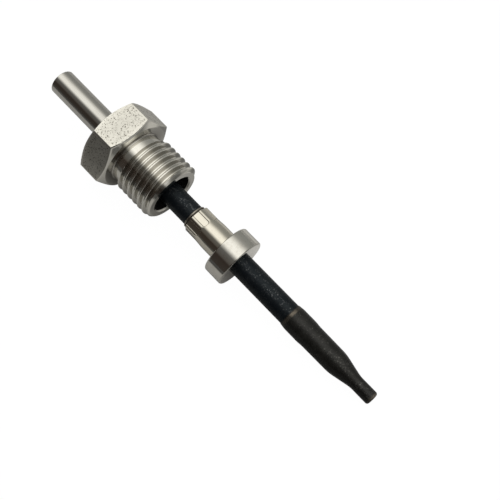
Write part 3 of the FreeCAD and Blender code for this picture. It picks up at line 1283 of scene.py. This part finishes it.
@dataclass
class StopCollar:
    """Thick ring with a neck that is swaged and crimped on the sheath.

    Args:
        bore_radius: radius of the bore.
        ring_radius: outer radius of the ring.
        ring_rear: rear face of the ring.
        ring_round: rounding of the ring's edges.
        corner: rounding of the corner behind the ring, which is in painted shade.
        corner_fade: distance behind the ring where its painted shade has ended.
        neck_radius: radius of the neck.
        flare_front: where the neck starts to narrow.
        flare_gap: distance from the plain neck's last row to there.
        swage_front: where it has narrowed.
        swage_radius: radius of the narrow stretch.
        pads: crimp pads at its rear end.
        pad_margin: stretch ahead of the pads with rows as close as theirs.
        neck_rear: rear end of that stretch.
        neck_round: rounding of the rear edge.
        edge_painted_shade: share of painted shade on the rear edge.
        lip_front: front edge of the round lip behind the pads.
        lip_radius: radius of that lip.
        lip_outline: form of the lip, as (along from its front edge, radius less the lip's).
        lip_groove: radius of the groove between pads and lip, which is in painted shade.
        lip_darkening: share of darkening on the lip.
        columns: grid columns round the collar.
        flare_rows: grid rows ahead of the pads.
        pad_rows: grid rows of the pads.
        ring_finish: finish of the ring.
        neck_finish: finish of the neck.
    """

    bore_radius: float = 2.52
    ring_radius: float = 5.8
    ring_rear: float = -4.6
    ring_round: float = 0.4
    corner: float = 0.06
    corner_fade: float = 0.2
    neck_radius: float = 3.32
    flare_front: float = -8.2
    flare_gap: float = 0.1
    swage_front: float = -10.6
    swage_radius: float = 3.15
    pads: CrimpPads = CrimpPads()
    pad_margin: float = 0.4
    neck_rear: float = -13.4
    neck_round: float = 0.1
    edge_painted_shade: float = 0.6
    lip_front: float = -13.7
    lip_radius: float = 2.78
    lip_outline: tuple[Pair, ...] = ((-0.04, -0.03), (-0.1, 0.0), (-0.27, 0.0), (-0.35, -0.06))
    lip_groove: float = 2.64
    lip_darkening: float = 0.55
    columns: int = 520
    flare_rows: int = 5
    pad_rows: int = 86
    ring_finish: TurnedSteel = TurnedSteel("collar_steel", (0.62, 0.605, 0.56), 0.07, scratches=0.8)
    neck_finish: TurnedSteel = TurnedSteel("neck_steel", (0.63, 0.60, 0.52), 0.07, scratches=0.2)

    def ring(self) -> list[Band]:
        """Seat face, ring, the corner behind it in painted shade and the plain stretch of the neck.

        Returns:
            The bands.
        """
        inner = self.ring_radius - self.ring_round
        ring = np.concatenate([
            line((0.0, self.bore_radius)),
            arc((-self.ring_round, inner), self.ring_round, 0.0, 90.0),
            arc((self.ring_rear + self.ring_round, inner), self.ring_round, 90.0, 180.0),
        ])
        corner = line(
            (self.ring_rear, self.neck_radius + self.corner),
            (self.ring_rear - self.corner, self.neck_radius),
        )
        neck = line(
            (self.ring_rear - self.corner_fade, self.neck_radius),
            (self.flare_front + self.flare_gap, self.neck_radius),
        )
        return [
            Band.turned(ring, CollarZone.RING),
            # painted shade: the corner behind the ring is fully darkened
            Band.turned(corner, CollarZone.NECK, 1.0),
            Band.turned(neck, CollarZone.NECK),
        ]

    def crimped(self) -> Band:
        """Narrowing stretch with the pads pressed in.

        Returns:
            The band.
        """
        pad_front = self.neck_rear + self.pads.length
        dense = pad_front + self.pad_margin
        along = np.concatenate([
            np.linspace(self.flare_front, dense, self.flare_rows, endpoint=False),
            np.linspace(dense, self.neck_rear + self.neck_round, self.pad_rows),
        ])[:, None]
        flare = line((self.swage_front, self.swage_radius), (self.flare_front, self.neck_radius))
        neck = np.interp(along, flare[:, 0], flare[:, 1])
        turns = even_turns(self.columns)
        radius, painted_shade_and_dirt = self.pads.press(along - pad_front, turns, self.swage_radius, neck)
        return Band(along, radius, CollarZone.NECK, 0.0, painted_shade_and_dirt)

    def rear_lip(self, last: Array) -> list[Band]:
        """Rear edge of the pads and the groove behind it, both in painted shade, and the round lip at the
        end.

        Args:
            last: radii of the last crimped row.

        Returns:
            The bands.
        """
        edge_along = np.array([[self.neck_rear]])
        groove = line((self.neck_rear, self.lip_groove), (self.lip_front, self.lip_groove))
        lip = np.array([self.lip_front, self.lip_radius]) + line(*self.lip_outline)
        lip = np.concatenate([lip, line((lip[-1, 0], self.bore_radius))])
        return [
            # painted shade on the rear edge, and in full in the groove
            Band(edge_along, last - self.neck_round, CollarZone.NECK, 0.0, self.edge_painted_shade),
            Band.turned(groove, CollarZone.NECK, 1.0),
            Band.turned(lip, CollarZone.NECK, self.lip_darkening),
        ]

    def build(self) -> None:
        """Makes the collar as one closed skin and dresses it."""
        crimped = self.crimped()
        bands = [*self.ring(), crimped, *self.rear_lip(crimped.radius[-1:])]
        finishes = [self.ring_finish, self.neck_finish]
        skin = Skin(bands, even_turns(self.columns))
        skin.add("collar_body", finishes, Body.PROBE, "stop_collar", "collar_steel")


@dataclass
class Probe:
    """Black sheath and the closed cap swaged over its end.

    Args:
        sheath_radius: outer radius of the sheath.
        sheath_bore: inner radius of the sheath.
        sheath_rear: rear end of the sheath.
        sheath_front: front end of the sheath, inside the cap.
        fit_gap: gap between sheath and cap.
        cap_rear: rear edge of the cap.
        cap_wall: wall of the cap.
        lip: thickness of the cap's rear edge.
        chamfer_front: end of the chamfer at the rear edge.
        step_end: end of the small step.
        cone_start: where the cap narrows.
        cone_end: where the narrow tip starts.
        tip_end: end of the tip.
        cap_radius: radius over the sheath.
        body_radius: radius behind the cone, at its rear and front ends.
        tip_radius: radius of the tip.
        tip_round: rounding of the tip's edge.
        soften: half length over which the corners at each of the cap's stations are rounded.
        edge_rub: distances from the rear edge where its rubbed band starts, is full, fades and ends.
        tip_painted_highlight: painted highlight on the tip's rounded edge, made as rubbing: its share,
            distance from the end and half width.
        step_painted_shade: band of painted shade behind the step's end, where the flecks are left out:
            its distance and half width.
        columns: grid columns round the probe.
        sheath_rows: grid rows of the sheath.
        cap_rows: grid rows of the cap.
        mean_steps: samples of the running mean that rounds the cap's corners.
        sheath_finish: finish of the sheath.
        cap_finish: finish of the cap.
    """

    sheath_radius: float = 2.5
    sheath_bore: float = 2.0
    sheath_rear: float = -39.0
    sheath_front: float = 19.0
    fit_gap: float = 0.02
    cap_rear: float = 14.2
    cap_wall: float = 0.24
    lip: float = 0.06
    chamfer_front: float = 15.4
    step_end: float = 20.1
    cone_start: float = 27.5
    cone_end: float = 32.4
    tip_end: float = 37.0
    cap_radius: float = 2.75
    body_radius: Pair = (2.635, 2.56)
    tip_radius: float = 1.5
    tip_round: float = 0.5
    soften: tuple[float, ...] = (0.35, 0.4, 0.5, 0.95, 0.6)
    edge_rub: tuple[float, ...] = (0.1, 0.3, 0.7, 1.0)
    tip_painted_highlight: tuple[float, float, float] = (0.8, 0.35, 0.25)
    step_painted_shade: Pair = (0.2, 0.28)
    columns: int = 160
    sheath_rows: int = 60
    cap_rows: int = 320
    mean_steps: int = 21
    sheath_finish: BlackOxide = BlackOxide(
        "sheath_black", (0.0040, 0.0057, 0.0080), 0.40, haze=(0.0075, 0.0095, 0.0115),
        fleck=(0.14, 0.145, 0.15), rubbed=(0.05, 0.05, 0.05), shine=0.20, tint=(0.82, 0.94, 1.0),
    )
    cap_finish: BlackOxide = BlackOxide(
        "cap_black", (0.0044, 0.0043, 0.0040), 0.40, haze=(0.0105, 0.0104, 0.0093),
        fleck=(0.13, 0.128, 0.12), rubbed=(0.15, 0.128, 0.10), shine=0.36, tint=(1.0, 0.99, 0.96),
    )

    @property
    def fit_radius(self) -> float:
        """Inner radius of the cap round the sheath."""
        return self.sheath_radius + self.fit_gap

    def build_sheath(self) -> None:
        """Makes the sheath, a plain tube, as one closed skin."""
        stations = np.linspace(self.sheath_rear, self.sheath_front, self.sheath_rows)
        outer = np.stack([stations, np.full_like(stations, self.sheath_radius)], axis=1)
        inner = line((self.sheath_front, self.sheath_bore), (self.sheath_rear, self.sheath_bore))
        skin = Skin([Band.turned(outer), Band.turned(inner)], even_turns(self.columns))
        skin.add("sheath_skin", [self.sheath_finish], Body.PROBE, "sheath_tube", "sheath_black")

    def cap_outline(self) -> Array:
        """Outer form of the cap from its rear edge to the middle of the tip.

        Straight stretches, softened where they meet by a running mean, and an arc at the tip's edge.

        Returns:
            Points as rows of (along, radius).
        """
        round_start = self.tip_end - self.tip_round
        knots = line(
            (self.cap_rear, self.fit_radius + self.lip), (self.chamfer_front, self.cap_radius),
            (self.sheath_front, self.cap_radius), (self.step_end, self.body_radius[0]),
            (self.cone_start, self.body_radius[1]), (self.cone_end, self.tip_radius),
            (round_start, self.tip_radius),
        )
        stations = np.linspace(self.cap_rear, round_start, self.cap_rows)
        reach = np.interp(stations, knots[1:-1, 0], self.soften)
        reach = np.minimum(reach, np.minimum(stations - stations[0], stations[-1] - stations))
        near = around(stations, reach, self.mean_steps)
        radius = np.interp(near, knots[:, 0], knots[:, 1]).mean(axis=1)
        edge = arc((round_start, self.tip_radius - self.tip_round), self.tip_round, 90.0, 0.0)
        return np.concatenate([np.stack([stations, radius], axis=1), edge[1:], line((self.tip_end, 0.0))])

    def build_cap(self) -> None:
        """Makes the cap with its cavity as one closed skin, rubbed at the rear edge, with a painted
        highlight at the tip's edge.
        """
        outer = Band.turned(self.cap_outline())
        ahead = outer.along - self.cap_rear
        start, full, fade, end = self.edge_rub
        share, from_end, width = self.tip_painted_highlight
        outer.wear = smoothstep(start, full, ahead) * smoothstep(end, fade, ahead)
        # painted highlight on the tip's rounded edge, given the rubbed colour
        outer.wear += share * bell(outer.along - self.tip_end + from_end, width)
        # painted shade: a dark band behind the step, made by leaving out the flecks
        outer.painted_shade_and_dirt = bell(outer.along - self.step_end + self.step_painted_shade[0], self.step_painted_shade[1])
        wall = self.cap_wall
        inner = Band.turned(line(
            (self.tip_end - wall, 0.0), (self.tip_end - wall, self.tip_radius - wall),
            (self.cone_end, self.tip_radius - wall), (self.cone_start - wall, self.body_radius[1] - wall),
            (self.sheath_front, self.body_radius[1] - wall), (self.sheath_front, self.fit_radius),
            (self.cap_rear, self.fit_radius),
        ))
        skin = Skin([outer, inner], even_turns(self.columns))
        skin.add("cap_skin", [self.cap_finish], Body.PROBE, "tip_cap", "cap_black")

    def build(self) -> None:
        """Makes the sheath and the cap."""
        self.build_sheath()
        self.build_cap()


@dataclass
class RearTube:
    """Bright protective tube behind the nut.

    Args:
        radius: outer radius.
        bore: inner radius.
        front: front end, inside the nut.
        rear: rear end.
        edge_round: rounding of the outer edges.
        edge_steps: chords of that rounding.
        columns: grid columns round the tube.
        finish: finish of the tube.
    """

    radius: float = 2.92
    bore: float = 2.52
    front: float = -31.0
    rear: float = -56.5
    edge_round: float = 0.15
    edge_steps: int = 5
    columns: int = 160
    finish: DrawnSteel = DrawnSteel("tube_steel", (0.53, 0.52, 0.485), 0.12, (0.41, 0.39, 0.355))

    def build(self) -> None:
        """Makes the tube as one closed skin and dresses it."""
        middle = self.radius - self.edge_round
        outline = np.concatenate([
            line((self.front, self.bore)),
            arc((self.front - self.edge_round, middle), self.edge_round, 0.0, 90.0, self.edge_steps),
            arc((self.rear + self.edge_round, middle), self.edge_round, 90.0, 180.0, self.edge_steps),
            line((self.rear, self.bore)),
        ])
        skin = Skin([Band.turned(outline)], even_turns(self.columns))
        skin.add("tube_shell", [self.finish], Body.PROBE, "rear_tube", "tube_steel")


@dataclass(frozen=True)
class InnerPieces:
    """Nodes that keep their solid: grommet, cable core, splice and sensing element.

    Args:
        finishes: material slots and the finish of each.
    """

    finishes: tuple[tuple[str, GrainyFinish], ...] = (
        ("grommet_rubber", GrainyFinish(
            "grommet_rubber", (0.034, 0.034, 0.034), 0.62, (0.02, 0.02, 0.021), 5.0, 0.02)),
        ("mineral", GrainyFinish(
            "pressed_mineral", (0.86, 0.85, 0.82), 0.85, (0.72, 0.70, 0.66), 9.0, 0.02)),
        ("wire_metal", GrainyFinish(
            "wire_metal", (0.66, 0.65, 0.62), 0.28, (0.55, 0.53, 0.50), 8.0, 0.002, 1.0, drawn=0.1)),
        ("seal_glass", GrainyFinish(
            "seal_glass", (0.58, 0.65, 0.63), 0.10, (0.46, 0.54, 0.52), 3.0, transmission=0.5)),
        ("chip_ceramic", GrainyFinish(
            "chip_ceramic", (0.90, 0.89, 0.86), 0.55, (0.80, 0.79, 0.76), 12.0, 0.003)),
        ("cement", GrainyFinish(
            "cap_cement", (0.74, 0.71, 0.66), 0.9, (0.58, 0.55, 0.50), 6.0, 0.03)),
        ("barrel_metal", GrainyFinish(
            "barrel_metal", (0.68, 0.66, 0.60), 0.3, (0.56, 0.53, 0.46), 6.0, 0.003, 1.0, drawn=0.2)),
        ("sleeve_plastic", GrainyFinish(
            "sleeve_plastic", (0.85, 0.84, 0.80), 0.5, (0.78, 0.77, 0.72), 4.0)),
    )

    def dress(self, slots: dict[str, str]) -> None:
        """Gives each shown node of the frame the finish of its material slot.

        Args:
            slots: material slot of each node.
        """
        made = {slot: finish.material() for slot, finish in self.finishes}
        for name, node in frame["nodes"].items():
            slot = slots[name]
            if slot in made and not node.hide_render:
                node.data.materials.clear()
                node.data.materials.append(made[slot])
                log.info("%s: finish %s", name, made[slot].name)


@dataclass(frozen=True)
class PhotoCamera:
    """Camera of the photograph's view.

    Args:
        place: where it stands, in metres.
        target: what the middle of the picture shows, in metres.
        roll: turn about its own line of sight, in degrees.
        focal: focal length in pixels of the frame.
        frame_pixels: width of the frame in pixels.
        clip: nearest and farthest distance that it sees, in metres.
    """

    place: Point = (0.0451995, -0.0388505, 0.1338055)
    target: Point = (0.0088839, 0.0035157, 0.006)
    roll: float = -5.73
    focal: float = 682.3
    frame_pixels: float = 500.0
    clip: Pair = (0.005, 20.0)

    def build(self) -> None:
        """Makes the scene's camera, turned so that its up side leans by the roll."""
        data = bpy.data.cameras.new("photo_camera")
        data.lens = data.sensor_width * self.focal / self.frame_pixels
        data.clip_start, data.clip_end = self.clip
        ahead = (Vector(self.target) - Vector(self.place)).normalized()
        level = ahead.cross(Vector((0.0, 0.0, 1.0))).normalized()
        roll = math.radians(self.roll)
        up = level.cross(ahead) * math.cos(roll) + level * math.sin(roll)
        turn = Matrix((ahead.cross(up), up, -ahead)).transposed()
        camera = put("photo_camera", data)
        camera.matrix_world = Matrix.Translation(self.place) @ turn.to_4x4()
        bpy.context.scene.camera = camera


@dataclass(frozen=True)
class PaintedFloorShading:
    """Soft oval patch on the floor in reflections: painted shade where darker, painted light where
    brighter.

    Args:
        middle: its middle, in metres.
        reach: its half axes, in metres.
        level: brightness in its middle over that of the plain floor.
        core: share of the half axes up to which it is full.
    """

    middle: Pair
    reach: Pair
    level: float
    core: float = 0.4

    def share(self, kit: Nodes) -> Socket:
        """Brightness over that of the plain floor, by the distance from the middle over the half axes.

        Args:
            kit: node builder.

        Returns:
            The brightness.
        """
        scale = tuple(1.0 / half for half in self.reach)
        shift = tuple(-part / half for part, half in zip(self.middle, self.reach))
        inputs = {0: kit.coordinates("Object"), 1: (*scale, 0.0), 2: (*shift, 0.0)}
        off = kit.node("VectorMath", inputs, operation="MULTIPLY_ADD").outputs["Vector"]
        return kit.ramp(kit.length(off), (self.core, 1.0), (self.level, 1.0))


@dataclass(frozen=True)
class Studio:
    """Floor, a soft light for matt surfaces, and a room that the metal shows.

    The room is bright overhead, grey on the far side of the sensor and dark on the camera's side.

    Args:
        light_size: length and width of the overhead light, in metres.
        light_place: its middle, in metres.
        light_level: brightness of its face, where 1 is white.
        warm: colour of the light.
        floor_size: side of the floor, in metres.
        floor_drop: how far it lies below the sensor, in metres.
        floor_white: plain white of the floor, as the camera sees it.
        floor_shade: colour of the share of it that takes light and shade.
        floor_pale_and_painted_shade: colour of the floor in reflections, painted shade far on the
            camera's side and pale elsewhere.
        floor_change: places across between which that colour changes, in metres.
        floor_glow_and_painted_light: brightness added to it in metal and glass, elsewhere and on the
            strip of painted light.
        painted_light_strip: places across where the strip of painted light starts, is full, fades and
            ends, in metres.
        patches: patches of painted shade and painted light on the floor in reflections.
        room: brightness of the room round the length of the sensor, as (angle from overhead, colour);
            minus is the camera's side.
        room_end: shares of the way towards the tip's end of the room between which it dims.
        room_dim: brightness that is left at that end.
    """

    light_size: Pair = (0.62, 0.465)
    light_place: Point = (0.0, 0.117, 0.5)
    light_level: float = 0.5
    warm: Colour = (1.0, 0.985, 0.95)
    floor_size: float = 4.0
    floor_drop: float = 0.00005
    floor_white: float = 0.985
    floor_shade: float = 0.03
    floor_pale_and_painted_shade: Pair = (0.06, 0.46)
    floor_change: Pair = (-0.047, -0.028)
    floor_glow_and_painted_light: Pair = (0.04, 0.22)
    painted_light_strip: tuple[float, ...] = (-0.001, 0.004, 0.008, 0.014)
    patches: tuple[PaintedFloorShading, ...] = (
        PaintedFloorShading((-0.018, 0.0125), (0.018, 0.013), 0.4),
        PaintedFloorShading((-0.004, 0.006), (0.012, 0.008), 0.6),
        PaintedFloorShading((0.000, 0.027), (0.020, 0.014), 1.5),
        PaintedFloorShading((0.045, 0.036), (0.030, 0.020), 0.45),
        PaintedFloorShading((0.036, -0.012), (0.032, 0.010), 0.25),
    )
    room: tuple[tuple[float, Colour], ...] = (
        (-90.0, (0.058, 0.050, 0.044)), (-55.0, (0.046, 0.036, 0.030)), (-48.0, (0.11, 0.10, 0.09)),
        (-25.0, (0.165, 0.162, 0.154)), (-18.0, (0.50, 0.492, 0.470)), (-12.0, (0.97, 0.957, 0.914)),
        (-4.0, (1.46, 1.443, 1.382)), (15.0, (1.45, 1.433, 1.374)), (27.0, (1.25, 1.233, 1.172)),
        (35.0, (0.97, 0.956, 0.90)), (43.0, (0.67, 0.658, 0.621)), (52.0, (0.44, 0.437, 0.414)),
        (67.0, (0.355, 0.356, 0.338)), (90.0, (0.33, 0.332, 0.318)),
    )
    room_end: Pair = (0.5, 0.85)
    room_dim: float = 0.5

    def build(self) -> None:
        """Makes light, floor and surroundings."""
        self.build_light()
        self.build_floor()
        self.build_room()

    def build_light(self) -> None:
        """Overhead light that mirrors don't show; its power is four times level times area."""
        data = bpy.data.lights.new("overhead", "AREA")
        data.shape = "RECTANGLE"
        data.size, data.size_y = self.light_size
        data.energy = 4.0 * self.light_level * self.light_size[0] * self.light_size[1]
        data.color = self.warm
        lamp = put("overhead", data)
        lamp.location = self.light_place
        lamp.visible_camera = False
        lamp.visible_glossy = False

    def build_floor(self) -> None:
        """Square floor just below the sensor."""
        half, level = self.floor_size / 2, -self.floor_drop
        corners = [(-half, -half, level), (half, -half, level), (half, half, level), (-half, half, level)]
        mesh = bpy.data.meshes.new("floor")
        mesh.from_pydata(corners, [], [(0, 1, 2, 3)])
        mesh.materials.append(self.floor_material())
        put("floor", mesh)

    def floor_material(self) -> bpy.types.Material:
        """White with a faint shade to the camera; in reflections pale, with painted shade, patches and a
        glowing painted strip.

        Returns:
            The material.
        """
        material = bpy.data.materials.new("floor_white")
        kit = Nodes(material)
        rays = kit.node("LightPath", {}).outputs
        shade = (self.floor_shade, self.floor_shade, self.floor_shade)
        white = kit.node("Emission", {"Color": WHITE, "Strength": self.floor_white}).outputs[0]
        seen = kit.both(white, kit.node("BsdfDiffuse", {"Color": shade}).outputs[0])
        across = kit.part(kit.coordinates("Object"), "Y")
        # painted shade: in reflections the floor is dark far on the camera's side
        level = kit.ramp(across, self.floor_change, self.floor_pale_and_painted_shade)
        # painted shade and painted light: darker and brighter patches of the floor in reflections
        for patch in self.patches:
            level = kit.times(level, patch.share(kit))
        pale = kit.node("BsdfDiffuse", {"Color": level}).outputs[0]
        # painted light: a glowing strip of floor beside the sensor, seen in metal and glass
        rise = kit.ramp(across, self.painted_light_strip[:2], self.floor_glow_and_painted_light)
        fall = kit.ramp(across, self.painted_light_strip[2:], self.floor_glow_and_painted_light[::-1])
        painted_strip_light = kit.math("MINIMUM", rise, fall)
        glow = kit.node("Emission", {"Color": self.warm, "Strength": painted_strip_light}).outputs[0]
        through = kit.math("MAXIMUM", rays["Is Glossy Ray"], rays["Is Transmission Ray"])
        bounced = kit.join(through, pale, kit.both(pale, glow))
        kit.node("OutputMaterial", {"Surface": kit.join(rays["Is Camera Ray"], bounced, seen)})
        return material

    def build_room(self) -> None:
        """Surroundings whose level depends on the angle round the sensor's length, atan2(y, z)."""
        world = bpy.data.worlds.new("room")
        bpy.context.scene.world = world
        kit = Nodes(world)
        rays = kit.node("LightPath", {}).outputs
        towards = kit.coordinates("Generated")
        angle = kit.math("ARCTAN2", kit.part(towards, "Y"), kit.part(towards, "Z"))
        share = kit.node("MapRange", {"Value": angle, "From Min": -math.pi, "From Max": math.pi})
        levels = kit.node("ValToRGB", {0: share.outputs["Result"]})
        stops = levels.color_ramp.elements
        for number, (degrees, colour) in enumerate(self.room):
            place = (degrees + 180.0) / 360.0
            stop = stops[number] if number < len(stops) else stops.new(place)
            stop.position = place
            stop.color = (*colour, 1.0)
        ahead = kit.ramp(kit.part(towards, "X"), self.room_end, (1.0, self.room_dim))
        shown = {"Color": levels.outputs["Color"], "Strength": ahead}
        room = kit.node("Background", shown).outputs[0]
        white = kit.node("Background", {"Color": WHITE, "Strength": 1.0}).outputs[0]
        seen = kit.math("MAXIMUM", rays["Is Camera Ray"], rays["Is Transmission Ray"])
        kit.node("OutputWorld", {"Surface": kit.join(seen, room, white)})


def main() -> None:
    """Builds the sub-assemblies, dresses the inner pieces and sets up camera and studio."""
    logging.basicConfig(level=logging.INFO, format="%(name)s: %(message)s")
    for assembly in (RearTube(), UnionNut(), StopCollar(), Probe()):
        assembly.build()
    slots = {part["node"]: part["material_slot"] for part in frame["record"]["subparts"]}
    InnerPieces().dress(slots)
    PhotoCamera().build()
    Studio().build()
    bpy.context.scene.view_settings.view_transform = "Standard"


if __name__ == "__main__":
    main()
